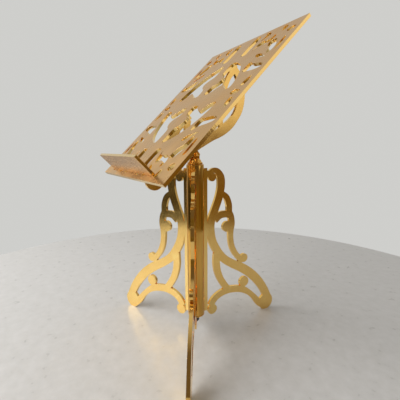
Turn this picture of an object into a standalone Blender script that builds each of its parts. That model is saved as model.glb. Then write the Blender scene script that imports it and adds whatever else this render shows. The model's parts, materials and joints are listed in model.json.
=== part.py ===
"""Tabletop lectern: a pierced desk that tilts and swivels on a round column with three scrollwork legs.

Metres, +Z up. The reader stands on the -Y side. The origin is on the floor, in the middle of the
object's box. Every flat piece is a plate whose outline is the union of ribbons and discs, less its
openings, in the plate's own plane.
"""

import math

import bmesh
import bpy
from mathutils import Matrix, Vector
from mathutils.geometry import delaunay_2d_cdt

MM = 0.001
GAP = 0.3 * MM                      # between neighbouring pieces

# Column
COLUMN_X, COLUMN_Y = 7.3 * MM, -18.8 * MM    # column axis, seen from the middle of the box
TUBE_R = 13.5 * MM
TUBE_BORE_R = 11.7 * MM
TUBE_LOW, TUBE_TOP = 31.5 * MM, 274.0 * MM
SPIGOT_R = TUBE_BORE_R - GAP

# Legs
LEG_THICK = 5 * MM
TRIPOD_TURN = math.radians(-5.4)    # the tripod stands turned this much under the desk
LEG_AZIMUTHS = {"rear": 90, "left": 210, "right": 330}
LEG_SCREW_HEIGHTS = {"low": 70 * MM, "top": 222 * MM}
SPINE_IN, SPINE_OUT = 13.9, 20.0    # mm from the column axis
SCREW_R = 1.5 * MM
SCREW_HEAD_R = 2.7 * MM

# Swivel head and tilt hinge
STEM_R = 5 * MM
PIVOT_Z = 290 * MM
PIN_R = 1.8 * MM
EAR_IN, EAR_OUT = 3.7 * MM, 5.5 * MM
EAR_R = 4.8 * MM
BOSS_R = 6.2 * MM                   # of the bracket, around the pin
FORK_FLOOR = 283.0 * MM
HEAD_TOP = 284.4 * MM

# Desk, in its own plane: x across, v up the slope from the bottom edge, depth behind the face
DESK_TILT = math.radians(44.1)
DESK_W, DESK_H = 218.0, 300.0       # mm
DESK_THICK = 4.5 * MM
PIVOT_UP = 96 * MM                  # tilt axis above the desk's bottom edge, along the slope
PIVOT_BACK = 53.9 * MM              # tilt axis behind the desk's face
LEDGE_W, LEDGE_DEEP, LEDGE_THICK = 144 * MM, 31 * MM, 4 * MM
LEDGE_UP = 8 * MM                   # underside of the ledge above the bottom edge
BRACKET_THICK = 5 * MM

GOLD = (0.83, 0.56, 0.20)
BRONZE_GOLD = (0.72, 0.46, 0.15)
BLACK = (0.02, 0.02, 0.022)


# ---------------------------------------------------------------- outlines, in millimetres

def curve(points, closed=False, step=4.8):
    """Points every step or so along a smooth curve through the given ones."""
    pts = [Vector(p) for p in points]
    count = len(pts)
    out = []
    for i in range(count if closed else count - 1):
        if closed:
            a, b, c, d = (pts[(i + k) % count] for k in (-1, 0, 1, 2))
        else:
            b, c = pts[i], pts[i + 1]
            a = pts[i - 1] if i else 2 * b - c
            d = pts[i + 2] if i + 2 < count else 2 * c - b
        pieces = max(2, round((c - b).length / step))
        for k in range(pieces):
            t = k / pieces
            out.append(0.5 * (2 * b + (c - a) * t + (2 * a - 5 * b + 4 * c - d) * t ** 2
                              + (3 * b - a - 3 * c + d) * t ** 3))
    if not closed:
        out.append(pts[-1])
    return out


def ribbon(stations):
    """A strip along a smooth centre line; each station is x, y and the strip's width there."""
    line = curve([(x, y, width) for x, y, width in stations])
    left, right = [], []
    for i, point in enumerate(line):
        ahead = line[min(i + 1, len(line) - 1)] - line[max(i - 1, 0)]
        side = Vector((-ahead.y, ahead.x)).normalized() * point.z / 2
        left.append(point.xy + side)
        right.append(point.xy - side)
    return left + right[::-1]


def disc(x, y, radius, sides=None):
    sides = sides or max(12, round(math.tau * radius / 3.5))
    turns = (math.tau * k / sides for k in range(sides))
    return [Vector((x + radius * math.cos(t), y + radius * math.sin(t))) for t in turns]


def bar(x0, y0, x1, y1):
    return [Vector(p) for p in ((x0, y0), (x1, y0), (x1, y1), (x0, y1))]


def leaf(*points):
    """An opening with a smooth closed outline through the given points."""
    return curve(points, closed=True)


def in_each_quarter(outline, sx=(1, -1), sy=(1, -1)):
    """Copies of an outline given for the upper right quarter, mirrored about the middle."""
    return [[Vector((a * p.x, b * p.y)) for p in outline] for a in sx for b in sy]


# ---------------------------------------------------------------- solids

def anticlockwise(outline):
    doubled_area = sum(a.cross(b) for a, b in zip(outline, outline[1:] + outline[:1]))
    return outline if doubled_area > 0 else outline[::-1]


def triangulated(outlines, wanted, merge):
    """Vertices and triangles of the parts of the plane whose list of enclosing outlines is wanted."""
    verts = [p for outline in outlines for p in outline]
    faces, first = [], 0
    for outline in outlines:
        faces.append(list(range(first, first + len(outline))))
        first += len(outline)
    verts, _, tris, _, _, owners = delaunay_2d_cdt(verts, [], faces, 1, merge)
    return verts, [t for t, own in zip(tris, owners) if wanted(own)]


def rim_edges(tris):
    directed = {(t[k], t[(k + 1) % 3]) for t in tris for k in range(3)}
    return {a: b for a, b in directed if (b, a) not in directed}


def region(adds, cuts):
    """Vertices and triangles of the union of the outlines in adds, less those in cuts."""
    outlines = [anticlockwise(outline) for outline in adds + cuts]
    verts, tris = triangulated(outlines, lambda own: own and max(own) < len(adds), 0.02)
    follow = rim_edges(tris)
    loops = []
    while follow:
        start, end = follow.popitem()
        loop = [verts[start]]
        while end != start:
            loop.append(verts[end])
            end = follow.pop(end)
        loops.append(anticlockwise(loop))
    return triangulated(loops, lambda own: len(own) % 2, 1e-4)


def plate_mesh(name, adds, cuts, thick):
    """A plate in the XY plane, half its thickness each side of it."""
    verts, tris = region(adds, cuts)
    bm = bmesh.new()
    low = [bm.verts.new((p.x * MM, p.y * MM, -thick / 2)) for p in verts]
    high = [bm.verts.new((p.x * MM, p.y * MM, thick / 2)) for p in verts]
    for t in tris:
        bm.faces.new([high[i] for i in t])
        bm.faces.new([low[i] for i in reversed(t)])
    for a, b in rim_edges(tris).items():
        bm.faces.new((low[a], low[b], high[b], high[a]))
    bmesh.ops.recalc_face_normals(bm, faces=bm.faces)
    return to_mesh(bm, name)


def to_mesh(bm, name):
    mesh = bpy.data.meshes.new(name)
    bm.to_mesh(mesh)
    bm.free()
    return mesh


def turned_mesh(name, profile, sides=32):
    """A solid turned about Z. The profile is (radius, z) in metres, up the outer side from the axis
    and, for a ring, down the bore."""
    ring = profile[0][0] > 0
    bm = bmesh.new()
    rows = []
    for radius, z in profile:
        if radius == 0:
            rows.append([bm.verts.new((0, 0, z))])
            continue
        turns = (math.tau * k / sides for k in range(sides))
        rows.append([bm.verts.new((radius * math.cos(t), radius * math.sin(t), z)) for t in turns])
    pairs = list(zip(rows, rows[1:])) + ([(rows[-1], rows[0])] if ring else [])
    for lower, upper in pairs:
        for k in range(sides):
            j = (k + 1) % sides
            corners = [lower[k % len(lower)], lower[j % len(lower)],
                       upper[j % len(upper)], upper[k % len(upper)]]
            corners = list(dict.fromkeys(corners))
            if len(corners) > 2:
                bm.faces.new(corners)
    bmesh.ops.recalc_face_normals(bm, faces=bm.faces)
    return to_mesh(bm, name)


def box_mesh(name, low, high):
    bm = bmesh.new()
    bmesh.ops.create_cube(bm, size=1)
    for v in bm.verts:
        v.co = Vector([(a + b) / 2 + c * (b - a) for a, b, c in zip(low, high, v.co)])
    return to_mesh(bm, name)


def material(name, color, roughness, metallic):
    made = bpy.data.materials.new(name)
    made.use_nodes = True
    shader = made.node_tree.nodes["Principled BSDF"]
    shader.inputs["Base Color"].default_value = (*color, 1)
    shader.inputs["Roughness"].default_value = roughness
    shader.inputs["Metallic"].default_value = metallic
    return made


def piece(mesh, parent, look, place=Matrix()):
    """A named piece of the object, shaded smooth across its gentle edges."""
    color, roughness, metallic = look
    obj = bpy.data.objects.new(mesh.name, mesh)
    bpy.context.scene.collection.objects.link(obj)
    obj.parent = parent
    obj.matrix_local = place
    mesh.materials.append(material(mesh.name, color, roughness, metallic))
    mesh.shade_smooth()
    mesh.set_sharp_from_angle(angle=math.radians(35))
    return obj


def boolean(obj, mesh, place=Matrix(), operation="DIFFERENCE"):
    """Cuts or joins a helper shape, placed in the frame of the piece's own mesh."""
    helper = bpy.data.objects.new(mesh.name, mesh)
    bpy.context.scene.collection.objects.link(helper)
    helper.parent = obj
    helper.matrix_local = place
    helper.hide_render = True
    helper.display_type = "WIRE"
    modifier = obj.modifiers.new(mesh.name, "BOOLEAN")
    modifier.object = helper
    modifier.operation = operation
    modifier.solver = "EXACT"


def empty(name, parent=None, place=Matrix()):
    made = bpy.data.objects.new(name, None)
    bpy.context.scene.collection.objects.link(made)
    made.parent = parent
    made.matrix_local = place
    return made


def along_x(x, y, z, sign=1):
    """Turns a shape made about +Z to lie along +X, or -X, from the given point."""
    return Matrix.Translation((x, y, z)) @ Matrix.Rotation(sign * math.pi / 2, 4, "Y")


def screw_mesh(name, head_r, head_deep, shank_r, length, sides=16):
    """A cheese-head screw: its head's top at z = 0, its shank towards +Z."""
    chamfer = head_deep * 0.2
    return turned_mesh(name, [
        (0, 0), (head_r - chamfer, 0), (head_r, chamfer), (head_r, head_deep),
        (shank_r, head_deep), (shank_r, length - shank_r / 2), (shank_r / 2, length), (0, length),
    ], sides)


# ---------------------------------------------------------------- column

LOOK_TUBE = (GOLD, 0.12, 1.0)
LOOK_PLATE = (GOLD, 0.18, 1.0)
LOOK_TURNED = (BRONZE_GOLD, 0.15, 1.0)
LOOK_STEEL = ((0.55, 0.53, 0.50), 0.30, 1.0)
LOOK_BLACK = (BLACK, 0.45, 0.0)


def make_column(stand):
    tube = piece(turned_mesh("column_tube", [
        (TUBE_BORE_R, TUBE_LOW), (TUBE_R, TUBE_LOW), (TUBE_R, TUBE_TOP), (TUBE_BORE_R, TUBE_TOP),
    ], 48), stand, LOOK_TUBE)
    for leg, azimuth in leg_turns():
        for level, height in LEG_SCREW_HEIGHTS.items():
            cutter = turned_mesh(f"hole_{leg}_{level}", [
                (0, 0), (SCREW_R + GAP, 0), (SCREW_R + GAP, 20 * MM), (0, 20 * MM)], 12)
            place = Matrix.Rotation(azimuth, 4, "Z") @ along_x(0, 0, height)
            boolean(tube, cutter, place)
    make_base(stand)
    rim = TUBE_TOP + GAP
    piece(turned_mesh("column_top_bush", [
        (STEM_R + GAP, 244.6 * MM), (SPIGOT_R, 244.6 * MM), (SPIGOT_R, rim), (TUBE_R, rim),
        (TUBE_R, rim + 0.6 * MM), (TUBE_R - 0.4 * MM, rim + MM), (STEM_R + GAP, rim + MM),
    ], 48), stand, LOOK_TURNED)


def make_base(stand):
    """The plug that closes the tube's lower end, held by a bolt and a nut inside it."""
    flange_top = TUBE_LOW - GAP
    flange_low = flange_top - 3.2 * MM
    bolt_r = 3 * MM
    spigot_top = TUBE_LOW + 11 * MM
    piece(turned_mesh("column_base_plug", [
        (bolt_r + GAP, flange_low), (TUBE_R - 2.2 * MM, flange_low),
        (TUBE_R - 0.7 * MM, flange_low + 0.6 * MM), (TUBE_R, flange_low + 2.0 * MM),
        (TUBE_R, flange_top), (SPIGOT_R, flange_top),
        (SPIGOT_R, spigot_top), (bolt_r + GAP, spigot_top),
    ], 48), stand, LOOK_TURNED)
    head_top = flange_low - GAP
    head_deep = 12.5 * MM
    tip = spigot_top + 9 * MM
    piece(turned_mesh("base_bolt", [
        (0, head_top - head_deep), (2.6 * MM, head_top - head_deep + 0.6 * MM),
        (4.4 * MM, head_top - head_deep + 3 * MM), (5 * MM, head_top - head_deep + 6 * MM),
        (5 * MM, head_top), (bolt_r, head_top), (bolt_r, tip - MM), (bolt_r - MM, tip), (0, tip),
    ], 24), stand, LOOK_BLACK)
    nut_deep = 5 * MM
    nut = plate_mesh("base_nut", [disc(0, 0, 5.8, 6)], [disc(0, 0, (bolt_r + GAP) / MM, 16)], nut_deep)
    piece(nut, stand, LOOK_STEEL, Matrix.Translation((0, 0, spigot_top + GAP + nut_deep / 2)))


# ---------------------------------------------------------------- legs

def leg_turns():
    return [(leg, math.radians(angle) + TRIPOD_TURN) for leg, angle in LEG_AZIMUTHS.items()]


def leg_outlines():
    """Ribbons and balls of one leg: x is the distance from the column axis, y the height."""
    main_s = [(25, 261.5, 8), (31, 265, 8), (38.5, 262.8, 10), (44.5, 253.5, 13), (45.5, 240, 13.5),
              (41.8, 222, 13.5), (35, 204, 13.5), (28.5, 188, 13.5), (26, 172, 14), (29, 152, 14),
              (37.5, 134, 14), (50.5, 117, 14), (68, 104.3, 14.5), (88, 93, 16), (107, 79, 16.5),
              (123.8, 62.2, 16.5), (137.8, 43.6, 15.8), (149.5, 22, 15)]
    second_loop = [(47.5, 227, 9), (56, 220, 10), (60.8, 208, 10.5), (61.5, 196, 10.5)]
    bridge = [(63.5, 190, 11), (54, 192.5, 11.5), (43.5, 191.5, 12), (34, 185, 13)]
    third_loop = [(60.5, 197, 10), (65, 187, 11), (66.8, 175, 11), (65, 163, 10.5), (65, 150, 9.8),
                  (67.5, 136, 9.8), (73.5, 123, 9.8), (82.5, 112, 10), (90, 104, 11)]
    strut = [(38, 128, 12), (37.5, 112, 12.5), (39.5, 97, 12), (44.5, 83, 11.5), (51.5, 71, 11.5),
             (59, 60, 12)]
    arch = [(26.5, 37, 11), (33, 46.5, 11.5), (44, 53.5, 11.5), (60, 57, 12), (77, 55.5, 12),
            (92, 51, 12), (106, 41.5, 10), (118, 29.5, 10.5), (128, 17.5, 13), (138, 12, 16)]
    adds = [ribbon(r) for r in (main_s, second_loop, bridge, third_loop, strut, arch)]
    adds += [bar(SPINE_IN, 31, SPINE_OUT, 269), bar(SPINE_OUT - 1, 255, 27, 265)]
    adds += [disc(29, 254.5, 6.8), disc(57.5, 171, 9.2), disc(92.5, 110, 7.8), disc(94, 65.5, 9.5),
             disc(29.5, 29.8, 8.7), disc(144.8, 15, 15.6, 32)]
    below_floor = bar(100, -5, 180, 0)
    return adds, [below_floor]


def make_legs(stand):
    adds, cuts = leg_outlines()
    upright = Matrix.Rotation(math.pi / 2, 4, "X")
    for leg, azimuth in leg_turns():
        turn = Matrix.Rotation(azimuth, 4, "Z")
        plate = piece(plate_mesh(f"leg_{leg}", adds, cuts, LEG_THICK), stand, LOOK_PLATE, turn @ upright)
        for level, height in LEG_SCREW_HEIGHTS.items():
            bore = turned_mesh(f"bore_{leg}_{level}", [
                (0, 0), (SCREW_R + GAP, 0), (SCREW_R + GAP, 18.7 * MM), (0, 18.7 * MM)], 12)
            boolean(plate, bore, upright.inverted() @ along_x(0, 0, height))
            screw = screw_mesh(f"leg_screw_{leg}_{level}", SCREW_HEAD_R, 2 * MM, SCREW_R, 9.6 * MM, 12)
            piece(screw, stand, LOOK_STEEL, turn @ along_x(8.8 * MM, 0, height))


# ---------------------------------------------------------------- swivel head and tilt hinge

def make_head(head):
    """The turned head on its stem, with two ears that hold the tilt pin."""
    flange_low = TUBE_TOP + 1.6 * MM
    turned = piece(turned_mesh("swivel_head", [
        (0, 244.3 * MM), (STEM_R - 0.5 * MM, 244.3 * MM), (STEM_R, 244.8 * MM), (STEM_R, flange_low),
        (11.3 * MM, flange_low), (11.8 * MM, flange_low + 0.5 * MM), (11.8 * MM, 277.4 * MM),
        (11.2 * MM, 278.4 * MM), (9.8 * MM, 279.6 * MM), (9.4 * MM, 280.9 * MM), (8.0 * MM, 282.6 * MM),
        (6.4 * MM, HEAD_TOP - 0.5 * MM), (5.6 * MM, HEAD_TOP), (0, HEAD_TOP),
    ], 40), head, LOOK_TURNED)
    ear = [disc(0, PIVOT_Z / MM, EAR_R / MM, 28), bar(-EAR_R / MM, 281, EAR_R / MM, PIVOT_Z / MM)]
    stand_up = Matrix.Rotation(math.pi / 2, 4, "Z") @ Matrix.Rotation(math.pi / 2, 4, "X")
    for side in (1, -1):
        middle = side * (EAR_IN + EAR_OUT) / 2
        boolean(turned, plate_mesh(f"ear_{side}", ear, [], EAR_OUT - EAR_IN),
                Matrix.Translation((middle, 0, 0)) @ stand_up, "UNION")
    boolean(turned, box_mesh("fork_slot", (-EAR_IN, -20 * MM, FORK_FLOOR), (EAR_IN, 20 * MM, 310 * MM)))
    pin_hole = turned_mesh("pin_hole", [
        (0, -20 * MM), (PIN_R + GAP, -20 * MM), (PIN_R + GAP, 20 * MM), (0, 20 * MM)], 20)
    boolean(turned, pin_hole, along_x(0, 0, PIVOT_Z))
    screw_bore = turned_mesh("screw_bore", [
        (0, 230 * MM), (2.3 * MM, 230 * MM), (2.3 * MM, 256 * MM), (0, 256 * MM)], 12)
    boolean(turned, screw_bore)
    make_retainer(head)


def make_retainer(head):
    """The washer and screw under the bush that keep the head down on the column."""
    piece(turned_mesh("swivel_retainer", [
        (2.3 * MM, 240.8 * MM), (9 * MM, 240.8 * MM), (9 * MM, 244.0 * MM), (2.3 * MM, 244.0 * MM),
    ], 24), head, LOOK_STEEL)
    piece(screw_mesh("retainer_screw", 4 * MM, 2.6 * MM, 2 * MM, 17 * MM), head, LOOK_STEEL,
          Matrix.Translation((0, 0, 237.9 * MM)))


def make_tilt_hinge(head):
    """The pin through the ears, its cap nut, and the two friction washers beside the bracket."""
    reach = EAR_OUT + GAP
    piece(turned_mesh("tilt_pin", [
        (0, -reach - 2.4 * MM), (2.4 * MM, -reach - 2.2 * MM), (3.4 * MM, -reach - 1.3 * MM),
        (3.6 * MM, -reach), (PIN_R, -reach), (PIN_R, reach + 2.3 * MM), (PIN_R - 0.5 * MM, reach + 2.7 * MM),
        (0, reach + 2.7 * MM),
    ], 20), head, LOOK_TURNED, along_x(0, 0, PIVOT_Z))
    ball_r = 3.3 * MM
    middle = reach + 2.4 * MM
    ball = [(ball_r * math.cos(t), middle + ball_r * math.sin(t))
            for t in (math.radians(a) for a in (-38, -19, 0, 20, 40, 60, 76))]
    piece(turned_mesh("tilt_cap_nut", [
        (PIN_R + GAP, reach), (ball_r * 0.72, reach), *ball, (0, middle + ball_r), (0, reach + 3.1 * MM),
        (PIN_R + GAP, reach + 3.1 * MM),
    ], 24), head, LOOK_TURNED, along_x(0, 0, PIVOT_Z))
    washer_in = BRACKET_THICK / 2 + GAP
    for side, name in ((1, "tilt_washer_right"), (-1, "tilt_washer_left")):
        piece(turned_mesh(name, [
            (PIN_R + GAP, washer_in), (4.6 * MM, washer_in), (4.6 * MM, EAR_IN - GAP),
            (PIN_R + GAP, EAR_IN - GAP)], 20), head, LOOK_BLACK, along_x(0, 0, PIVOT_Z, side))


# ---------------------------------------------------------------- desk

def desk_openings():
    """Openings of the desk about its middle: an ornate cross in an oval ring, scrolls in the corners.
    Each is drawn for the upper right quarter and repeated in all four."""
    between_arms = leaf((9, 14), (10, 28), (18, 34), (23, 43), (18, 52), (10, 58), (8.5, 72), (12, 85),
                        (30, 78), (46, 65), (58, 47), (65, 30), (67, 15), (58, 13), (50, 19), (42, 27),
                        (33, 23), (21, 13))
    slot = leaf((16, 101), (16, 135), (22, 144), (29, 136), (29, 101), (23, 97))
    scroll = leaf((39, 101), (42, 107), (50, 109), (60, 108), (69, 113), (71, 122), (66, 127),
                  (64, 120), (56, 117), (48, 122), (41, 115))
    scroll_eye = leaf((39, 125), (45, 127), (52, 135), (47, 142), (40, 143), (42, 134))
    crescent = leaf((64, 47), (75, 44), (90, 43), (100, 46), (99, 52), (90, 56), (75, 60), (64, 66))
    side_leaf = leaf((69, 110), (79, 112), (85, 104), (91, 92), (90, 80), (84, 78), (80, 90), (72, 99))
    side_stem = leaf((63, 84), (66, 77), (77, 72), (88, 70), (80, 77), (72, 82))
    slit = leaf((96, 108), (100, 104), (100, 88), (97, 80), (95, 90), (95, 102))
    corner_bud = leaf((88, 126), (94, 131), (101, 129), (99, 122), (93, 120))
    corner_drop = leaf((73, 143), (80, 141), (82, 134), (77, 130), (74, 135))
    edge_drop = leaf((92, 10), (98, 13), (100, 22), (97, 29), (92, 24), (90, 16))
    quarter = [between_arms, slot, scroll, scroll_eye, crescent, side_leaf, side_stem, slit,
               corner_bud, corner_drop, edge_drop]
    side_bud = leaf((82, 0), (88, 5), (96, 3), (100, 0), (96, -3), (88, -5))
    holes = [mirrored for outline in quarter for mirrored in in_each_quarter(outline)]
    return holes + in_each_quarter(side_bud, sy=(1,))


def desk_middle():
    return Matrix.Translation((0, DESK_H * MM / 2 - PIVOT_UP, PIVOT_BACK - DESK_THICK / 2))


def make_desk(desk):
    """desk is at the tilt axis, its X across the desk, its Y up the slope and its Z out of the face."""
    middle = desk_middle()
    outline = bar(-DESK_W / 2, -DESK_H / 2, DESK_W / 2, DESK_H / 2)
    panel = piece(plate_mesh("desk_panel", [outline], desk_openings(), DESK_THICK), desk, LOOK_PLATE, middle)
    underside = LEDGE_UP - PIVOT_UP
    ledge = piece(box_mesh("ledge_plate", (-LEDGE_W / 2, underside, PIVOT_BACK + GAP),
                           (LEDGE_W / 2, underside + LEDGE_THICK, PIVOT_BACK + LEDGE_DEEP)), desk, LOOK_PLATE)
    for name, x in (("left", -56 * MM), ("middle", 0.0), ("right", 56 * MM)):
        head_at = Matrix.Translation((x, underside + LEDGE_THICK / 2, PIVOT_BACK - DESK_THICK - 2.3 * MM))
        hole = turned_mesh(f"ledge_hole_{name}", [
            (0, 0), (1.2 * MM + GAP, 0), (1.2 * MM + GAP, 14 * MM), (0, 14 * MM)], 12)
        boolean(panel, hole, middle.inverted() @ head_at)
        boolean(ledge, hole, head_at)
        piece(screw_mesh(f"ledge_screw_{name}", SCREW_HEAD_R, 2 * MM, 1.2 * MM, 13.5 * MM, 12), desk,
              LOOK_TURNED, head_at)
    return panel


def bracket_outlines():
    """The bow behind the desk, seen from its right side: x up the slope, y out of the face, both
    from the desk's bottom edge."""
    bow = [(240, -9, 9), (238, -26, 12), (228, -43, 13.5), (216, -54.5, 14), (203, -62, 13.7),
           (190, -65, 13.2), (175, -65.5, 15), (160, -63, 15.5), (148, -60, 14), (136, -55.5, 13),
           (120, -50, 14), (104, -46, 13.5), (80, -44, 14), (60, -39, 13), (42, -36, 12), (30, -34, 12)]
    inner_scroll = [(236, -12, 8), (222, -13, 8), (206, -19, 8), (190, -29, 8), (174, -42.5, 8),
                    (164, -51, 7.5), (159, -58, 8)]
    foot_scroll = [(122, -10, 9), (112, -18, 9), (107, -29, 9.5), (104, -44, 11)]
    low_strut = [(76, -10, 9), (86, -16, 8.5), (92, -28, 9), (94, -44, 11)]
    adds = [ribbon(r) for r in (bow, inner_scroll, foot_scroll, low_strut)]
    back = -DESK_THICK / MM - GAP / MM
    adds += [disc(22.5, -32.5, 13.5), disc(PIVOT_UP / MM, -PIVOT_BACK / MM, BOSS_R / MM, 28)]
    adds += [bar(228, -12, 246, back), bar(66, -12, 128, back), bar(15, -26, 31, back)]
    eye = disc(22.5, -32.5, 4.5, 14)
    pin_hole = disc(PIVOT_UP / MM, -PIVOT_BACK / MM, (PIN_R + GAP) / MM, 20)
    return adds, [eye, pin_hole]


def make_bracket(desk, panel):
    adds, cuts = bracket_outlines()
    side_on = Matrix(((0, 0, 1, 0), (1, 0, 0, -PIVOT_UP), (0, 1, 0, PIVOT_BACK), (0, 0, 0, 1)))
    bracket = piece(plate_mesh("rear_bracket", adds, cuts, BRACKET_THICK), desk, LOOK_PLATE, side_on)
    held = {"panel": (panel, desk_middle()), "bracket": (bracket, side_on)}
    for name, up in (("top", 237 * MM), ("middle", 97 * MM), ("low", 23 * MM)):
        make_clip(desk, held, name, up - PIVOT_UP)


def make_clip(desk, held, name, up):
    """An angle clip that holds a foot of the bracket to the desk's back, with its two screws."""
    wide, long, thick = 10 * MM, 11 * MM, 1.8 * MM
    back = PIVOT_BACK - DESK_THICK - GAP
    inner = -BRACKET_THICK / 2 - GAP
    bend = [bar(0, 0, wide / MM, thick / MM), bar(0, 0, thick / MM, wide / MM)]
    along_v = Matrix(((-1, 0, 0, inner), (0, 0, 1, up), (0, -1, 0, back), (0, 0, 0, 1)))
    clip = piece(plate_mesh(f"clip_{name}", bend, [], long), desk, LOOK_TURNED, along_v)
    shank_r = 1.1 * MM
    to_panel = Matrix.Translation((inner - 0.62 * wide, up, back - thick - 1.5 * MM))
    to_bracket = along_x(inner - thick - 1.5 * MM, up, back - 0.62 * wide)
    for target, place, shank in (("panel", to_panel, 4.8 * MM), ("bracket", to_bracket, 5.6 * MM)):
        name_of_pair = f"{name}_to_{target}"
        hole = turned_mesh(f"hole_{name_of_pair}", [
            (0, 0), (shank_r + GAP, 0), (shank_r + GAP, shank + GAP), (0, shank + GAP)], 12)
        boolean(clip, hole, along_v.inverted() @ place)
        other, frame = held[target]
        boolean(other, hole, frame.inverted() @ place)
        piece(screw_mesh(f"clip_screw_{name_of_pair}", 2 * MM, 1.2 * MM, shank_r, shank, 12), desk,
              LOOK_TURNED, place)


# ---------------------------------------------------------------- whole object

def main():
    for old in list(bpy.data.objects):
        bpy.data.objects.remove(old)
    stand = empty("stand", place=Matrix.Translation((COLUMN_X, COLUMN_Y, 0)))
    make_column(stand)
    make_legs(stand)
    head = empty("head_swivel", stand)
    make_head(head)
    make_tilt_hinge(head)
    tilt = Matrix.Translation((0, 0, PIVOT_Z)) @ Matrix.Rotation(DESK_TILT, 4, "X")
    desk = empty("desk_tilt", head, tilt)
    panel = make_desk(desk)
    make_bracket(desk, panel)


main()
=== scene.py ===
"""Looks of the tabletop lectern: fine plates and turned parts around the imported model, gold finishes,
a pale floor and soft studio light.

Metres, +Z up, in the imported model's own frame. Each flat piece is the union of ribbons and discs less
its openings, as in the model, with more points along its curves and rounded edges.
"""
import json
import math

import bmesh
import bpy
from mathutils import Matrix, Vector
from mathutils.geometry import delaunay_2d_cdt


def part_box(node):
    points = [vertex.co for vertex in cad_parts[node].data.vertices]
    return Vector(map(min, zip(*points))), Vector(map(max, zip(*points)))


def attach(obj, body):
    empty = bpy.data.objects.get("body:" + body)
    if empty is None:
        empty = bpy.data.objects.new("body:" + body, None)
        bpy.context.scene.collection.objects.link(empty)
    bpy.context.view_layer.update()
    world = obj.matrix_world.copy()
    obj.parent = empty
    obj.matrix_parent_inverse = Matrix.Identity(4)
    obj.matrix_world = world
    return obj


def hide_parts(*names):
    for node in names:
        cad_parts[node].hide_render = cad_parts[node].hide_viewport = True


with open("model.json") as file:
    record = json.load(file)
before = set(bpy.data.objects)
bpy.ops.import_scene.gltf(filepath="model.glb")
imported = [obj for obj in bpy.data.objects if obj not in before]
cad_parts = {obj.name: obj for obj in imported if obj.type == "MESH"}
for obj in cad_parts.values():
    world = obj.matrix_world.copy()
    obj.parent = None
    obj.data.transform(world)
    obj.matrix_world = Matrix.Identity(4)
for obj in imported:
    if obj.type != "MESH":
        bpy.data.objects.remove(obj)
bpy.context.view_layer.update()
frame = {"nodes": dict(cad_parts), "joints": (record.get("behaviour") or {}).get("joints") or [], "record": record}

MM = 0.001
STEP = 1.5                          # mm between points along a curve
PLATE_EDGE = 0.4 * MM               # rounding of a plate's cut edges
GAP = 0.3 * MM                      # between neighbouring pieces

JOINTS = {joint["name"]: joint for joint in frame["joints"]}
COLUMN_AT = Vector((*JOINTS["desk_swivel"]["pos_m"][:2], 0))
PIVOT_AT = Vector(JOINTS["desk_tilt"]["pos_m"])
PIVOT_Z = PIVOT_AT.z
TUBE_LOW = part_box("column_tube")[0].z
TUBE_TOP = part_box("column_tube")[1].z
TUBE_R = (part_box("column_tube")[1].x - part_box("column_tube")[0].x) / 2
TUBE_BORE_R = 11.7 * MM
BUSH_LOW = 244.6 * MM
BUSH_RIM = 1 * MM
BOLT_R = 3 * MM
STEM_R = 5 * MM
STEM_LOW = BUSH_LOW - GAP
SPINE_IN, SPINE_OUT = 13.9, 20.0    # mm from the column axis
LEG_THICK = 5 * MM
TRIPOD_TURN = math.radians(-5.4)
LEG_AZIMUTHS = {"rear": 90, "left": 210, "right": 330}

PIN_R = 1.8 * MM
EAR_IN, EAR_OUT = 3.7 * MM, 5.5 * MM
EAR_R = 4.8 * MM
BOSS_R = 6.2 * MM
FORK_FLOOR = 283.0 * MM
HEAD_TOP = 284.4 * MM

DESK_TILT = math.radians(44.1)
DESK_W, DESK_H = 218.0, 300.0       # mm
DESK_THICK = 4.5 * MM
PIVOT_UP, PIVOT_BACK = 96 * MM, 53.9 * MM    # tilt axis up the desk's slope, and behind its face
LEDGE_W, LEDGE_DEEP, LEDGE_THICK = 144 * MM, 31 * MM, 4 * MM
LEDGE_UP = 8 * MM
BRACKET_THICK = 5 * MM

STAND = Matrix.Translation(COLUMN_AT)
DESK = Matrix.Translation(PIVOT_AT) @ Matrix.Rotation(DESK_TILT, 4, "X")
UPRIGHT = Matrix.Rotation(math.pi / 2, 4, "X")


# ---------------------------------------------------------------- outlines, in millimetres

def curve(points, closed=False, step=STEP):
    """Points every step or so along a smooth curve through the given ones."""
    pts = [Vector(p) for p in points]
    count = len(pts)
    out = []
    for i in range(count if closed else count - 1):
        if closed:
            a, b, c, d = (pts[(i + k) % count] for k in (-1, 0, 1, 2))
        else:
            b, c = pts[i], pts[i + 1]
            a = pts[i - 1] if i else 2 * b - c
            d = pts[i + 2] if i + 2 < count else 2 * c - b
        pieces = max(2, round((c - b).length / step))
        for k in range(pieces):
            t = k / pieces
            out.append(0.5 * (2 * b + (c - a) * t + (2 * a - 5 * b + 4 * c - d) * t ** 2
                              + (3 * b - a - 3 * c + d) * t ** 3))
    if not closed:
        out.append(pts[-1])
    return out


def ribbon(stations):
    """A strip along a smooth centre line; each station is x, y and the strip's width there."""
    line = curve([(x, y, width) for x, y, width in stations])
    left, right = [], []
    for i, point in enumerate(line):
        ahead = line[min(i + 1, len(line) - 1)] - line[max(i - 1, 0)]
        side = Vector((-ahead.y, ahead.x)).normalized() * point.z / 2
        left.append(point.xy + side)
        right.append(point.xy - side)
    return left + right[::-1]


def disc(x, y, radius, sides=None):
    sides = sides or max(24, round(math.tau * radius / STEP))
    turns = (math.tau * k / sides for k in range(sides))
    return [Vector((x + radius * math.cos(t), y + radius * math.sin(t))) for t in turns]


def bar(x0, y0, x1, y1):
    return [Vector(p) for p in ((x0, y0), (x1, y0), (x1, y1), (x0, y1))]


def leaf(*points):
    """An opening with a smooth closed outline through the given points."""
    return curve(points, closed=True)


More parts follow.
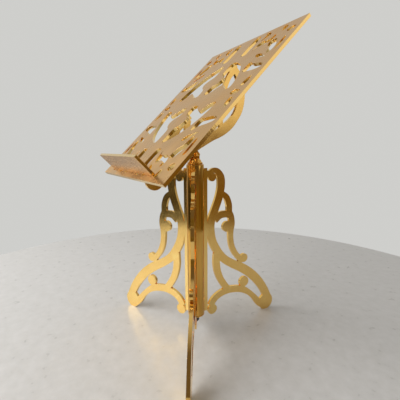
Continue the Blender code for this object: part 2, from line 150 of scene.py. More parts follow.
def in_each_quarter(outline, sx=(1, -1), sy=(1, -1)):
    """Copies of an outline given for the upper right quarter, mirrored about the middle."""
    return [[Vector((a * p.x, b * p.y)) for p in outline] for a in sx for b in sy]


# ---------------------------------------------------------------- meshes

def anticlockwise(outline):
    doubled_area = sum(a.cross(b) for a, b in zip(outline, outline[1:] + outline[:1]))
    return outline if doubled_area > 0 else outline[::-1]


def triangulated(outlines, wanted, merge):
    """Vertices and triangles of the parts of the plane whose list of enclosing outlines is wanted."""
    verts = [p for outline in outlines for p in outline]
    faces, first = [], 0
    for outline in outlines:
        faces.append(list(range(first, first + len(outline))))
        first += len(outline)
    verts, _, tris, _, _, owners = delaunay_2d_cdt(verts, [], faces, 1, merge)
    return verts, [t for t, own in zip(tris, owners) if wanted(own)]


def rim_edges(tris):
    directed = {(t[k], t[(k + 1) % 3]) for t in tris for k in range(3)}
    return {a: b for a, b in directed if (b, a) not in directed}


def region(adds, cuts):
    """Vertices and triangles of the union of the outlines in adds, less those in cuts."""
    outlines = [anticlockwise(outline) for outline in adds + cuts]
    verts, tris = triangulated(outlines, lambda own: own and max(own) < len(adds), 0.02)
    follow = rim_edges(tris)
    loops = []
    while follow:
        start, end = follow.popitem()
        loop = [verts[start]]
        while end != start:
            loop.append(verts[end])
            end = follow.pop(end)
        loops.append(anticlockwise(loop))
    return triangulated(loops, lambda own: len(own) % 2, 1e-4)


def to_mesh(bm, name):
    bmesh.ops.recalc_face_normals(bm, faces=bm.faces)
    mesh = bpy.data.meshes.new(name)
    bm.to_mesh(mesh)
    bm.free()
    return mesh


def plate_mesh(name, adds, cuts, thick):
    """A plate in the XY plane, half its thickness each side of it."""
    verts, tris = region(adds, cuts)
    bm = bmesh.new()
    low = [bm.verts.new((p.x * MM, p.y * MM, -thick / 2)) for p in verts]
    high = [bm.verts.new((p.x * MM, p.y * MM, thick / 2)) for p in verts]
    for t in tris:
        bm.faces.new([high[i] for i in t])
        bm.faces.new([low[i] for i in reversed(t)])
    for a, b in rim_edges(tris).items():
        bm.faces.new((low[a], low[b], high[b], high[a]))
    return to_mesh(bm, name)


def turned_mesh(name, profile, sides=96):
    """A solid turned about Z. The profile is (radius, z), up the outer side and, for a ring, down the
    bore."""
    ring = profile[0][0] > 0
    bm = bmesh.new()
    rows = []
    for radius, z in profile:
        if radius == 0:
            rows.append([bm.verts.new((0, 0, z))])
            continue
        turns = (math.tau * k / sides for k in range(sides))
        rows.append([bm.verts.new((radius * math.cos(t), radius * math.sin(t), z)) for t in turns])
    pairs = list(zip(rows, rows[1:])) + ([(rows[-1], rows[0])] if ring else [])
    for lower, upper in pairs:
        for k in range(sides):
            j = (k + 1) % sides
            corners = [lower[k % len(lower)], lower[j % len(lower)],
                       upper[j % len(upper)], upper[k % len(upper)]]
            corners = list(dict.fromkeys(corners))
            if len(corners) > 2:
                bm.faces.new(corners)
    return to_mesh(bm, name)


def box_mesh(name, low, high):
    bm = bmesh.new()
    bmesh.ops.create_cube(bm, size=1)
    for v in bm.verts:
        v.co = Vector([(a + b) / 2 + c * (b - a) for a, b, c in zip(low, high, v.co)])
    return to_mesh(bm, name)


def rounded(corners, radius, steps=4):
    """A turned profile with its inner corners rounded; the first and last points stay."""
    pts = [Vector(p) for p in corners]
    out = [pts[0]]
    for before, corner, after in zip(pts, pts[1:], pts[2:]):
        reach = min(radius, 0.45 * (before - corner).length, 0.45 * (after - corner).length)
        start = corner + (before - corner).normalized() * reach
        end = corner + (after - corner).normalized() * reach
        for k in range(steps + 1):
            t = k / steps
            out.append((1 - t) ** 2 * start + 2 * t * (1 - t) * corner + t ** 2 * end)
    return out + [pts[-1]]


def along_x(x, y, z, sign=1):
    """Turns a shape made about +Z to lie along +X, or -X, from the given point."""
    return Matrix.Translation((x, y, z)) @ Matrix.Rotation(sign * math.pi / 2, 4, "Y")


# ---------------------------------------------------------------- materials

WALL_ROUGHNESS = 0.11                   # of a plate's cut edges


def node(tree, kind, **inputs):
    made = tree.nodes.new(kind)
    for key, value in inputs.items():
        made.inputs[key.replace("_", " ")].default_value = value
    return made


def noise(tree, coords, scale, detail=3.0, stretch=(1, 1, 1)):
    """A noise pattern; stretch squeezes it along an axis where the number is large."""
    mapping = node(tree, "ShaderNodeMapping", Scale=stretch)
    tree.links.new(coords, mapping.inputs["Vector"])
    pattern = node(tree, "ShaderNodeTexNoise", Scale=scale, Detail=detail, Roughness=0.6)
    tree.links.new(mapping.outputs["Vector"], pattern.inputs["Vector"])
    return pattern.outputs["Fac"]


def ranged(tree, value, low, high, to_low, to_high):
    made = node(tree, "ShaderNodeMapRange", From_Min=low, From_Max=high, To_Min=to_low, To_Max=to_high)
    tree.links.new(value, made.inputs["Value"])
    return made.outputs["Result"]


def mixed(tree, factor, first, second, blend="MIX"):
    """Mixes two colours; each is a socket or three numbers."""
    made = tree.nodes.new("ShaderNodeMix")
    made.data_type = "RGBA"
    made.blend_type = blend
    tree.links.new(factor, made.inputs["Factor"])
    for socket, value in ((made.inputs[6], first), (made.inputs[7], second)):
        if isinstance(value, tuple):
            socket.default_value = (*value, 1)
        else:
            tree.links.new(value, socket)
    return made.outputs[2]


def added(tree, first, second):
    made = tree.nodes.new("ShaderNodeMath")
    made.operation = "ADD"
    tree.links.new(first, made.inputs[0])
    tree.links.new(second, made.inputs[1])
    return made.outputs["Value"]


def bumped(tree, height, shader, strength, distance=0.1 * MM):
    bump = node(tree, "ShaderNodeBump", Strength=strength, Distance=distance)
    tree.links.new(height, bump.inputs["Height"])
    tree.links.new(bump.outputs["Normal"], shader.inputs["Normal"])


def cut_walls(tree, tone, dull, height, wall_tone):
    """A plate's cut edges: a tone of their own, a brighter polish, and ripples left by the cutting,
    which run from face to face. The plate's faces look along its Z."""
    coords = tree.nodes.new("ShaderNodeTexCoord")
    normal = tree.nodes.new("ShaderNodeSeparateXYZ")
    tree.links.new(coords.outputs["Normal"], normal.inputs["Vector"])
    across = tree.nodes.new("ShaderNodeMath")
    across.operation = "ABSOLUTE"
    tree.links.new(normal.outputs["Z"], across.inputs[0])
    wall = ranged(tree, across.outputs["Value"], 0.3, 0.8, 1.0, 0.0)
    ripples = noise(tree, coords.outputs["Object"], 210, 2, (1, 1, 0.03))
    tone = mixed(tree, wall, tone, wall_tone)
    smooth = tree.nodes.new("ShaderNodeMix")
    tree.links.new(wall, smooth.inputs["Factor"])
    tree.links.new(dull, smooth.inputs["A"])
    smooth.inputs["B"].default_value = WALL_ROUGHNESS
    waves = tree.nodes.new("ShaderNodeMath")
    waves.operation = "MULTIPLY"
    tree.links.new(wall, waves.inputs[0])
    tree.links.new(ranged(tree, ripples, 0.0, 1.0, 0.0, 7.0), waves.inputs[1])
    return tone, smooth.outputs["Result"], added(tree, height, waves.outputs["Value"])


def metal(name, color, deep, roughness, brush=(1, 1, 1), brush_strength=0.06, metallic=1.0, walls=None,
          grain=0.22):
    """Polished metal: fine brushing along one axis, hairline scratches, handling marks that dull it
    a little, and a deeper tone where it has tarnished. A plate also has a tone for its cut walls."""
    made = bpy.data.materials.new(name)
    made.use_nodes = True
    tree = made.node_tree
    shader = tree.nodes["Principled BSDF"]
    shader.inputs["Metallic"].default_value = metallic
    coords = tree.nodes.new("ShaderNodeTexCoord").outputs["Object"]
    streaks = noise(tree, coords, 260, 2, brush)
    scratches = noise(tree, coords, 90, 6, tuple(b * 3 for b in brush))
    smudges = noise(tree, coords, 22, 5)
    tarnish = noise(tree, coords, 7, 4)
    grime = noise(tree, coords, 420, 3)
    tone = mixed(tree, ranged(tree, tarnish, 0.35, 0.75, 0.0, 0.55), color, deep)
    tone = mixed(tree, ranged(tree, streaks, 0.3, 0.7, 0.0, grain), tone, deep)
    tone = mixed(tree, ranged(tree, grime, 0.68, 0.78, 0.0, 0.25), tone, deep)
    # Convex edges are made lighter by Pointiness: partly rubbed wear, partly a painted highlight along the edges.
    edge = tree.nodes.new("ShaderNodeNewGeometry").outputs["Pointiness"]
    edge_wear_and_highlight = tuple(min(1.0, c * 1.12 + 0.03) for c in color)
    tone = mixed(tree, ranged(tree, edge, 0.52, 0.62, 0.0, 0.5), tone, edge_wear_and_highlight)
    dull = added(tree, ranged(tree, smudges, 0.35, 0.7, roughness * 0.8, roughness * 1.35),
                 ranged(tree, scratches, 0.55, 0.75, 0.0, 0.06))
    height = added(tree, streaks, scratches)
    if walls:
        tone, dull, height = cut_walls(tree, tone, dull, height, walls)
    tree.links.new(tone, shader.inputs["Base Color"])
    tree.links.new(dull, shader.inputs["Roughness"])
    bumped(tree, height, shader, brush_strength)
    return made


GOLD = (0.97, 0.67, 0.24)
DEEP_GOLD = (0.86, 0.52, 0.13)
WALL_GOLD = (0.96, 0.62, 0.19)          # cut walls of the legs and the bracket
PALE_WALL_GOLD_AND_GLARE = (0.94, 0.66, 0.25)          # and those of the desk, paler: partly their own tone, partly a painted highlight standing for pale glare on the cut edges
BRASS = (0.88, 0.50, 0.11)
DEEP_BRASS = (0.60, 0.28, 0.04)
STEEL = (0.58, 0.56, 0.53)
DARK_STEEL = (0.30, 0.28, 0.26)
ALONG_X, ALONG_Y, ROUND_Z = (0.05, 1, 1), (1, 0.05, 1), (0.2, 0.2, 4)

LEG_FINISH = metal("leg_gold", GOLD, DEEP_GOLD, 0.17, ALONG_Y, 0.05, walls=WALL_GOLD)
DESK_FINISH = metal("desk_gold", (0.73, 0.445, 0.175), (0.62, 0.35, 0.12), 0.28, ALONG_Y, 0.09,
                    walls=PALE_WALL_GOLD_AND_GLARE)
LEDGE_FINISH = metal("ledge_gold", (0.76, 0.47, 0.21), (0.60, 0.35, 0.13), 0.24, (0.01, 1.4, 1.4), 0.30,
                     walls=PALE_WALL_GOLD_AND_GLARE, grain=0.6)
BRACKET_FINISH = metal("bracket_gold", GOLD, DEEP_GOLD, 0.20, ALONG_X, 0.05, walls=WALL_GOLD)
TUBE_FINISH = metal("tube_gold", (0.86, 0.54, 0.14), DEEP_BRASS, 0.09, (0.8, 0.8, 0.01), 0.35, grain=0.55)
TURNED_FINISH = metal("turned_brass", BRASS, DEEP_BRASS, 0.13, ROUND_Z, 0.06)
CLIP_FINISH = metal("clip_brass", BRASS, DEEP_BRASS, 0.24, ALONG_X, 0.10)
STEEL_FINISH = metal("fastener_steel", STEEL, DARK_STEEL, 0.32, ROUND_Z, 0.10)
BLACK_FINISH = metal("blackened", (0.022, 0.021, 0.022), (0.05, 0.045, 0.04), 0.38, ROUND_Z, 0.12, 0.4)


# ---------------------------------------------------------------- pieces

def place(mesh, body, finish, at=Matrix(), replaced=(), bevel=0.0):
    """A piece of the object that rides on a body and stands for the CAD nodes named."""
    obj = bpy.data.objects.new(mesh.name, mesh)
    bpy.context.scene.collection.objects.link(obj)
    obj.matrix_world = at
    mesh.materials.append(finish)
    mesh.shade_smooth()
    mesh.set_sharp_from_angle(angle=math.radians(35))
    if bevel:
        modifier = obj.modifiers.new("rounded_edges", "BEVEL")
        modifier.width = bevel
        modifier.segments = 3
        modifier.limit_method = "ANGLE"
        modifier.angle_limit = math.radians(50)
        modifier.harden_normals = True
        modifier.miter_outer = "MITER_ARC"
    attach(obj, body)
    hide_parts(*replaced)
    return obj


def boolean(obj, mesh, at=Matrix(), operation="DIFFERENCE"):
    """Cuts or joins a helper shape, placed in the frame of the piece's own mesh; it goes before any
    rounding of the edges."""
    helper = bpy.data.objects.new(mesh.name, mesh)
    bpy.context.scene.collection.objects.link(helper)
    helper.parent = obj
    helper.matrix_local = at
    helper.hide_render = True
    helper.display_type = "WIRE"
    modifier = obj.modifiers.new(mesh.name, "BOOLEAN")
    modifier.object = helper
    modifier.operation = operation
    modifier.solver = "EXACT"
    obj.modifiers.move(len(obj.modifiers) - 1, 0 if operation == "UNION" else len(obj.modifiers) - 1)


def cross_recess(name, reach, deep):
    """A cutter for a cross slot, centred on z = 0; its arms reach so many millimetres out."""
    half_w = 0.2 * reach
    arms = [bar(-reach, -half_w, reach, half_w), bar(-half_w, -reach, half_w, reach)]
    return plate_mesh(name, arms, [], 2 * deep)


def screw(name, body, finish, at, head_r, head_deep, shank_r, length):
    """A pan-head screw with a cross slot: its head's top at z = 0, its threaded shank towards +Z."""
    dome = [(head_r * math.sin(t), head_deep * 0.75 * (1 - math.cos(t)))
            for t in (math.radians(a) for a in range(0, 91, 15))]
    thread = []
    pitch = 0.5 * MM
    turns = int((length - head_deep - 1.6 * MM) / pitch)
    for k in range(turns):
        z = head_deep + MM + k * pitch
        thread += [(shank_r, z), (shank_r - 0.18 * MM, z + pitch / 2)]
    profile = dome + [(head_r, head_deep), (shank_r, head_deep), *thread,
                      (shank_r * 0.7, length - 0.3 * MM), (0, length)]
    made = place(turned_mesh(name + "_fine", profile, 40), body, finish, at, [name])
    boolean(made, cross_recess("recess_" + name, 0.55 * head_r / MM, 0.7 * MM))


def make_column():
    edge = 0.5 * MM
    place(turned_mesh("column", rounded([
        (TUBE_BORE_R, TUBE_LOW + edge), (TUBE_BORE_R, TUBE_LOW), (TUBE_R, TUBE_LOW), (TUBE_R, TUBE_TOP),
        (TUBE_BORE_R, TUBE_TOP), (TUBE_BORE_R, TUBE_TOP - edge)], edge, 3), 160),
        "tripod", TUBE_FINISH, STAND, ["column_tube"])
    spigot_r = TUBE_BORE_R - GAP
    rim_low = TUBE_TOP + GAP
    rim_top = rim_low + BUSH_RIM
    place(turned_mesh("top_bush", rounded([
        (STEM_R + GAP, BUSH_LOW), (spigot_r, BUSH_LOW), (spigot_r, rim_low), (TUBE_R, rim_low),
        (TUBE_R, rim_top), (STEM_R + GAP, rim_top)], 0.4 * MM), 128),
        "tripod", TURNED_FINISH, STAND, ["column_top_bush"])
    make_base()


def make_base():
    """The stepped plug in the tube's lower end, and the dark bolt under it."""
    flange_top = TUBE_LOW - GAP
    flange_low = flange_top - 3.2 * MM
    spigot_top = TUBE_LOW + 11 * MM
    place(turned_mesh("base_plug", rounded([
        (BOLT_R + GAP, flange_low), (TUBE_R - 2.2 * MM, flange_low),
        (TUBE_R - 1.4 * MM, flange_low + 0.9 * MM), (TUBE_R - 0.3 * MM, flange_low + 1.2 * MM),
        (TUBE_R, flange_top), (TUBE_BORE_R - GAP, flange_top),
        (TUBE_BORE_R - GAP, spigot_top), (BOLT_R + GAP, spigot_top)], 0.5 * MM), 128),
        "tripod", TURNED_FINISH, STAND, ["column_base_plug"])
    head_top = flange_low - GAP
    head_low = head_top - 12.5 * MM
    tip = spigot_top + 9 * MM
    rings = []
    for k in range(4):
        z = head_low + (4.6 + 1.7 * k) * MM
        rings += [(4.9 * MM, z), (4.6 * MM, z + 0.35 * MM), (4.9 * MM, z + 0.7 * MM)]
    place(turned_mesh("base_bolt_fine", [
        (0, head_low), (2.0 * MM, head_low + 0.15 * MM), (2.9 * MM, head_low + 0.7 * MM),
        (4.2 * MM, head_low + 2.6 * MM), (4.8 * MM, head_low + 4 * MM), *rings, (5 * MM, head_top - 0.4 * MM),
        (4.7 * MM, head_top), (BOLT_R, head_top), (BOLT_R, tip - MM), (BOLT_R - MM, tip), (0, tip)], 64),
        "tripod", BLACK_FINISH, STAND, ["base_bolt"])


def leg_outlines():
    """Ribbons and balls of one leg: x is the distance from the column axis, y the height."""
    main_s = [(25, 261.5, 8), (31, 265, 8), (38.5, 262.8, 10), (44.5, 253.5, 13), (45.5, 240, 13.5),
              (41.8, 222, 13.5), (35, 204, 13.5), (28.5, 188, 13.5), (26, 172, 14), (29, 152, 14),
              (37.5, 134, 14), (50.5, 117, 14), (68, 104.3, 14.5), (88, 93, 16), (107, 79, 16.5),
              (123.8, 62.2, 16.5), (137.8, 43.6, 15.8), (149.5, 22, 15)]
    second_loop = [(47.5, 227, 9), (56, 220, 10), (60.8, 208, 10.5), (61.5, 196, 10.5)]
    bridge = [(63.5, 190, 11), (54, 192.5, 11.5), (43.5, 191.5, 12), (34, 185, 13)]
    third_loop = [(60.5, 197, 10), (65, 187, 11), (66.8, 175, 11), (65, 163, 10.5), (65, 150, 9.8),
                  (67.5, 136, 9.8), (73.5, 123, 9.8), (82.5, 112, 10), (90, 104, 11)]
    strut = [(38, 128, 12), (37.5, 112, 12.5), (39.5, 97, 12), (44.5, 83, 11.5), (51.5, 71, 11.5),
             (59, 60, 12)]
    arch = [(26.5, 37, 11), (33, 46.5, 11.5), (44, 53.5, 11.5), (60, 57, 12), (77, 55.5, 12),
            (92, 51, 12), (106, 41.5, 10), (118, 29.5, 10.5), (128, 17.5, 13), (138, 12, 16)]
    adds = [ribbon(r) for r in (main_s, second_loop, bridge, third_loop, strut, arch)]
    adds += [bar(SPINE_IN, 31, SPINE_OUT, 269), bar(SPINE_OUT - 1, 255, 27, 265)]
    adds += [disc(29, 254.5, 6.8), disc(57.5, 171, 9.2), disc(92.5, 110, 7.8), disc(94, 65.5, 9.5),
             disc(29.5, 29.8, 8.7), disc(144.8, 15, 15.6, 96)]
    below_floor = bar(100, -5, 180, 0)
    return adds, [below_floor]


def make_legs():
    adds, cuts = leg_outlines()
    for leg, azimuth in LEG_AZIMUTHS.items():
        turn = Matrix.Rotation(math.radians(azimuth) + TRIPOD_TURN, 4, "Z")
        place(plate_mesh("scroll_leg_" + leg, adds, cuts, LEG_THICK), "tripod",
              LEG_FINISH, STAND @ turn @ UPRIGHT, ["leg_" + leg], PLATE_EDGE)


def make_head():
    """The turned head with its two ears, cut out for the bracket and the hinge pin."""
    flange_low = TUBE_TOP + BUSH_RIM + 2 * GAP
    past = 20 * MM                  # how far a cutter reaches past the head
    head = place(turned_mesh("head", rounded([
        (0, STEM_LOW), (STEM_R, STEM_LOW), (STEM_R, flange_low), (11.8 * MM, flange_low),
        (11.8 * MM, 277.6 * MM), (11.0 * MM, 278.6 * MM), (9.7 * MM, 279.3 * MM), (9.6 * MM, 280.6 * MM),
        (8.2 * MM, 282.4 * MM), (6.4 * MM, HEAD_TOP), (0, HEAD_TOP)], 0.7 * MM), 128),
        "head", TURNED_FINISH, STAND, ["swivel_head"])
    stand_up = Matrix.Rotation(math.pi / 2, 4, "Z") @ UPRIGHT
    ear = [disc(0, PIVOT_Z / MM, EAR_R / MM, 64), bar(-EAR_R / MM, 281, EAR_R / MM, PIVOT_Z / MM)]
    for side in (1, -1):
        at = Matrix.Translation((side * (EAR_IN + EAR_OUT) / 2, 0, 0)) @ stand_up
        boolean(head, plate_mesh(f"ear_{side}", ear, [], EAR_OUT - EAR_IN), at, "UNION")
    boolean(head, box_mesh("fork_slot", (-EAR_IN, -past, FORK_FLOOR), (EAR_IN, past, PIVOT_Z + past)))
    boolean(head, turned_mesh("pin_hole", [
        (0, -past), (PIN_R + GAP, -past), (PIN_R + GAP, past), (0, past)], 48),
        along_x(0, 0, PIVOT_Z))
    make_pin()


def make_pin():
    """The hinge pin with its slotted head, and the ball-shaped cap nut on its other end."""
    reach = EAR_OUT + GAP
    at_pivot = STAND @ along_x(0, 0, PIVOT_Z)
    pin = place(turned_mesh("hinge_pin", rounded([
        (0, -reach - 2.4 * MM), (2.2 * MM, -reach - 2.3 * MM), (3.4 * MM, -reach - 1.4 * MM),
        (3.6 * MM, -reach), (PIN_R, -reach), (PIN_R, reach + 2.4 * MM), (0, reach + 2.7 * MM)],
        0.4 * MM), 64),
        "head", TURNED_FINISH, at_pivot, ["tilt_pin"])
    boolean(pin, box_mesh("pin_slot", (-6 * MM, -0.4 * MM, -reach - 4 * MM),
                          (6 * MM, 0.4 * MM, -reach - 1.5 * MM)))
    ball_r = 3.3 * MM
    middle = reach + 2.4 * MM
    ball = [(ball_r * math.cos(t), middle + ball_r * math.sin(t))
            for t in (math.radians(a) for a in range(-38, 90, 8))]
    place(turned_mesh("cap_nut", [
        (PIN_R + GAP, reach), (ball_r * 0.68, reach), (ball_r * 0.72, reach + 0.15 * MM), *ball,
        (0, middle + ball_r), (0, reach + 3.1 * MM), (PIN_R + GAP, reach + 3.1 * MM)], 64),
        "head", TURNED_FINISH, at_pivot, ["tilt_cap_nut"])


def desk_openings():
    """Openings of the desk about its middle: an ornate cross in an oval ring, scrolls in the corners.
    Each is drawn for the upper right quarter and repeated in all four."""
    between_arms = leaf((9, 14), (10, 28), (18, 34), (23, 43), (18, 52), (10, 58), (8.5, 72), (12, 85),
                        (30, 78), (46, 65), (58, 47), (65, 30), (67, 15), (58, 13), (50, 19), (42, 27),
                        (33, 23), (21, 13))
    slot = leaf((16, 101), (16, 135), (22, 144), (29, 136), (29, 101), (23, 97))
    scroll = leaf((39, 101), (42, 107), (50, 109), (60, 108), (69, 113), (71, 122), (66, 127),
                  (64, 120), (56, 117), (48, 122), (41, 115))
    scroll_eye = leaf((39, 125), (45, 127), (52, 135), (47, 142), (40, 143), (42, 134))
    crescent = leaf((64, 47), (75, 44), (90, 43), (100, 46), (99, 52), (90, 56), (75, 60), (64, 66))
    side_leaf = leaf((69, 110), (79, 112), (85, 104), (91, 92), (90, 80), (84, 78), (80, 90), (72, 99))
    side_stem = leaf((63, 84), (66, 77), (77, 72), (88, 70), (80, 77), (72, 82))
    slit = leaf((96, 108), (100, 104), (100, 88), (97, 80), (95, 90), (95, 102))
    corner_bud = leaf((88, 126), (94, 131), (101, 129), (99, 122), (93, 120))
    corner_drop = leaf((73, 143), (80, 141), (82, 134), (77, 130), (74, 135))
    edge_drop = leaf((92, 10), (98, 13), (100, 22), (97, 29), (92, 24), (90, 16))
    quarter = [between_arms, slot, scroll, scroll_eye, crescent, side_leaf, side_stem, slit,
               corner_bud, corner_drop, edge_drop]
    side_bud = leaf((82, 0), (88, 5), (96, 3), (100, 0), (96, -3), (88, -5))
    holes = [mirrored for outline in quarter for mirrored in in_each_quarter(outline)]
    return holes + in_each_quarter(side_bud, sy=(1,))


def make_desk():
    """Panel and ledge, in the frame of the tilt axis: X across, Y up the slope, Z out of the face."""
    outline = bar(-DESK_W / 2, -DESK_H / 2, DESK_W / 2, DESK_H / 2)
    middle = Matrix.Translation((0, DESK_H * MM / 2 - PIVOT_UP, PIVOT_BACK - DESK_THICK / 2))
    place(plate_mesh("pierced_desk", [outline], desk_openings(), DESK_THICK), "desk",
          DESK_FINISH, DESK @ middle, ["desk_panel"], PLATE_EDGE)
    underside = LEDGE_UP - PIVOT_UP
    ledge_middle = Matrix.Translation((0, underside + LEDGE_THICK / 2, PIVOT_BACK + (LEDGE_DEEP + GAP) / 2))
    half_w, half_d = LEDGE_W / 2 / MM, (LEDGE_DEEP - GAP) / 2 / MM
    flat = ledge_middle @ UPRIGHT
    place(plate_mesh("book_ledge", [bar(-half_w, -half_d, half_w, half_d)], [], LEDGE_THICK), "desk",
          LEDGE_FINISH, DESK @ flat, ["ledge_plate"], 0.5 * MM)
    for name, x in (("left", -56 * MM), ("middle", 0.0), ("right", 56 * MM)):
        head_at = Matrix.Translation((x, underside + LEDGE_THICK / 2, PIVOT_BACK - DESK_THICK - 2.3 * MM))
        screw("ledge_screw_" + name, "desk", TURNED_FINISH, DESK @ head_at,
              2.7 * MM, 2 * MM, 1.2 * MM, 13.5 * MM)


def bracket_outlines():
    """The bow behind the desk, seen from its right side: x up the slope, y out of the face, both
    from the desk's bottom edge."""
    bow = [(240, -9, 9), (238, -26, 12), (228, -43, 13.5), (216, -54.5, 14), (203, -62, 13.7),
           (190, -65, 13.2), (175, -65.5, 15), (160, -63, 15.5), (148, -60, 14), (136, -55.5, 13),
           (120, -50, 14), (104, -46, 13.5), (80, -44, 14), (60, -39, 13), (42, -36, 12), (30, -34, 12)]
    inner_scroll = [(236, -12, 8), (222, -13, 8), (206, -19, 8), (190, -29, 8), (174, -42.5, 8),
                    (164, -51, 7.5), (159, -58, 8)]
    foot_scroll = [(122, -10, 9), (112, -18, 9), (107, -29, 9.5), (104, -44, 11)]
    low_strut = [(76, -10, 9), (86, -16, 8.5), (92, -28, 9), (94, -44, 11)]
    adds = [ribbon(r) for r in (bow, inner_scroll, foot_scroll, low_strut)]
    back = -DESK_THICK / MM - GAP / MM
    adds += [disc(22.5, -32.5, 13.5), disc(PIVOT_UP / MM, -PIVOT_BACK / MM, BOSS_R / MM, 64)]
    adds += [bar(228, -12, 246, back), bar(66, -12, 128, back), bar(15, -26, 31, back)]
    eye = disc(22.5, -32.5, 4.5, 32)
    pin_hole = disc(PIVOT_UP / MM, -PIVOT_BACK / MM, (PIN_R + GAP) / MM, 48)
    return adds, [eye, pin_hole]


def make_bracket():
    adds, cuts = bracket_outlines()
    side_on = Matrix(((0, 0, 1, 0), (1, 0, 0, -PIVOT_UP), (0, 1, 0, PIVOT_BACK), (0, 0, 0, 1)))
    place(plate_mesh("bow_bracket", adds, cuts, BRACKET_THICK), "desk",
          BRACKET_FINISH, DESK @ side_on, ["rear_bracket"], PLATE_EDGE)
    for name, up in (("top", 237 * MM), ("middle", 97 * MM), ("low", 23 * MM)):
        make_clip_screws(name, up - PIVOT_UP)


def make_clip_screws(name, up):
    wide, thick = 10 * MM, 1.8 * MM
    back = PIVOT_BACK - DESK_THICK - GAP
    inner = -BRACKET_THICK / 2 - GAP
    to_panel = Matrix.Translation((inner - 0.62 * wide, up, back - thick - 1.5 * MM))
    to_bracket = along_x(inner - thick - 1.5 * MM, up, back - 0.62 * wide)
    for target, at, shank in (("panel", to_panel, 4.8 * MM), ("bracket", to_bracket, 5.6 * MM)):
        screw(f"clip_screw_{name}_to_{target}", "desk", TURNED_FINISH, DESK @ at,
              2 * MM, 1.2 * MM, 1.1 * MM, shank)


def finish_cad_nodes():
    """Better materials for the nodes that keep their own shape: hidden fasteners, washers and clips."""
    finishes = {"steel_fasteners": STEEL_FINISH, "black_parts": BLACK_FINISH, "turned_brass": CLIP_FINISH,
                "polished_gold_plate": LEG_FINISH, "polished_gold_tube": TUBE_FINISH}
    slots = {part["node"]: part["material_slot"] for part in frame["record"]["subparts"]}
    for name, obj in frame["nodes"].items():
        if obj.hide_render:
            continue
        obj.data.materials.clear()
        obj.data.materials.append(finishes[slots[name]])
        if name.startswith("clip_"):
            modifier = obj.modifiers.new("rounded_edges", "BEVEL")
            modifier.width = 0.25 * MM
            modifier.segments = 2
            modifier.limit_method = "ANGLE"


# ---------------------------------------------------------------- stage

FLOOR_R = 0.68
FLOOR_AT = Vector((0.02, -0.03, 0))     # its middle, from the column's foot
PALE = (0.62, 0.62, 0.60)


def make_floor():
    """A round pale table top with a faint sheen."""
    bm = bmesh.new()
    bmesh.ops.create_circle(bm, cap_ends=True, segments=160, radius=FLOOR_R)
    floor = bpy.data.objects.new("floor", to_mesh(bm, "floor"))
    bpy.context.scene.collection.objects.link(floor)
    floor.location = COLUMN_AT + FLOOR_AT
    made = bpy.data.materials.new("pale_floor")
    made.use_nodes = True
    tree = made.node_tree
    shader = tree.nodes["Principled BSDF"]
    coords = tree.nodes.new("ShaderNodeTexCoord").outputs["Object"]
    mottle = noise(tree, coords, 60, 6)
    tone = mixed(tree, ranged(tree, mottle, 0.3, 0.7, 0.0, 1.0), (0.52, 0.51, 0.49), (0.59, 0.58, 0.565))
    tree.links.new(tone, shader.inputs["Base Color"])
    tree.links.new(ranged(tree, mottle, 0.3, 0.7, 0.26, 0.38), shader.inputs["Roughness"])
    bumped(tree, mottle, shader, 0.1, 0.5 * MM)
    floor.data.materials.append(made)


def direction(azimuth, elevation):
    a, e = math.radians(azimuth), math.radians(elevation)
    return Vector((math.cos(a) * math.cos(e), math.sin(a) * math.cos(e), math.sin(e)))


def area_light(name, azimuth, elevation, distance, size, radiance, color=(1, 1, 1)):
    """A soft box that looks at the middle of the object, as bright as radiance."""
    light = bpy.data.lights.new(name, "AREA")
    light.shape = "RECTANGLE"
    light.size, light.size_y = size
    light.energy = radiance * math.pi * size[0] * size[1]
    light.color = color
    obj = bpy.data.objects.new(name, light)
    bpy.context.scene.collection.objects.link(obj)
    towards = direction(azimuth, elevation)
    obj.location = COLUMN_AT + Vector((0, 0, 0.2)) + towards * distance
    obj.rotation_mode = "QUATERNION"
    obj.rotation_quaternion = towards.to_track_quat("Z", "Y")
    obj.visible_camera = False


def facing(tree, towards, way):
    """How far the direction looked in agrees with the given one: 1 along it, -1 against it."""
    made = tree.nodes.new("ShaderNodeVectorMath")
    made.operation = "DOT_PRODUCT"
    made.inputs[1].default_value = way
    tree.links.new(towards, made.inputs[0])
    return made.outputs["Value"]


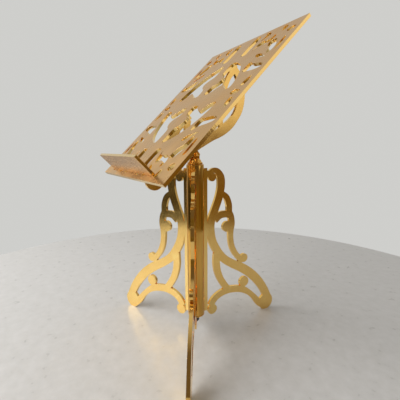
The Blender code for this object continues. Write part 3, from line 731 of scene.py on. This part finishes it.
def make_room():
    """A pale wall on one side, a dimmer room on the other, a pale ceiling, and below the table a brown
    floor with paler stripes, as of furniture."""
    world = bpy.context.scene.world or bpy.data.worlds.new("studio")
    bpy.context.scene.world = world
    world.use_nodes = True
    tree = world.node_tree
    towards = tree.nodes.new("ShaderNodeTexCoord").outputs["Generated"]
    to_wall = facing(tree, towards, direction(160, 15))
    to_right = facing(tree, towards, direction(30, 0))
    split = tree.nodes.new("ShaderNodeSeparateXYZ")
    tree.links.new(towards, split.inputs["Vector"])
    height = split.outputs["Z"]
    tone = mixed(tree, ranged(tree, to_wall, -0.35, 0.65, 0.0, 1.0), (0.13, 0.10, 0.07), PALE)
    tone = mixed(tree, ranged(tree, height, 0.6, 0.95, 0.0, 1.0), tone, (0.55, 0.55, 0.55))
    stripes = noise(tree, towards, 6.4, 1, (1, 1, 0.05))
    striped = ranged(tree, stripes, 0.46, 0.57, 0.0, 1.0)
    furniture = mixed(tree, striped, (0.105, 0.070, 0.016), (0.32, 0.245, 0.085))
    low = mixed(tree, ranged(tree, to_right, -0.5, -0.1, 0.0, 1.0), (0.045, 0.034, 0.012), furniture)
    low = mixed(tree, ranged(tree, to_right, 0.955, 0.985, 0.0, 1.0), low, (0.165, 0.088, 0.014))
    low = mixed(tree, ranged(tree, to_wall, 0.4, 0.7, 0.0, 1.0), low, (0.42, 0.40, 0.38))
    tone = mixed(tree, ranged(tree, height, -0.02, 0.10, 1.0, 0.0), tone, low)
    seen = tree.nodes.new("ShaderNodeLightPath").outputs["Is Camera Ray"]
    tone = mixed(tree, seen, tone, PALE)
    tree.links.new(tone, tree.nodes["Background"].inputs["Color"])


def make_light():
    make_room()
    area_light("window", 38, 21, 1.7, (1.2, 0.8), 0.75, (1.0, 0.94, 0.82))
    area_light("front_window", -106, 28, 1.5, (1.9, 0.9), 5.6)


CAMERA_AT = (0.3884, -0.2542, 0.2981)
CAMERA_LOOK = (147.37, -9.88)           # degrees: azimuth, elevation
CAMERA_ROLL = math.radians(-0.34)
CAMERA_LENS = 26.4                      # mm, on a frame 36 mm wide


def make_camera():
    """The view from the front right, a little above the column's top."""
    data = bpy.data.cameras.new("camera")
    data.sensor_width = 36
    data.lens = CAMERA_LENS
    camera = bpy.data.objects.new("camera", data)
    bpy.context.scene.collection.objects.link(camera)
    roll = Matrix.Rotation(CAMERA_ROLL, 4, "Z")
    turned = direction(*CAMERA_LOOK).to_track_quat("-Z", "Y").to_matrix().to_4x4()
    camera.matrix_world = Matrix.Translation(CAMERA_AT) @ turned @ roll
    data.clip_start = 0.01
    bpy.context.scene.camera = camera
    bpy.context.scene.view_settings.view_transform = "Standard"


make_camera()
make_column()
make_legs()
make_head()
make_desk()
make_bracket()
finish_cad_nodes()
make_floor()
make_light()
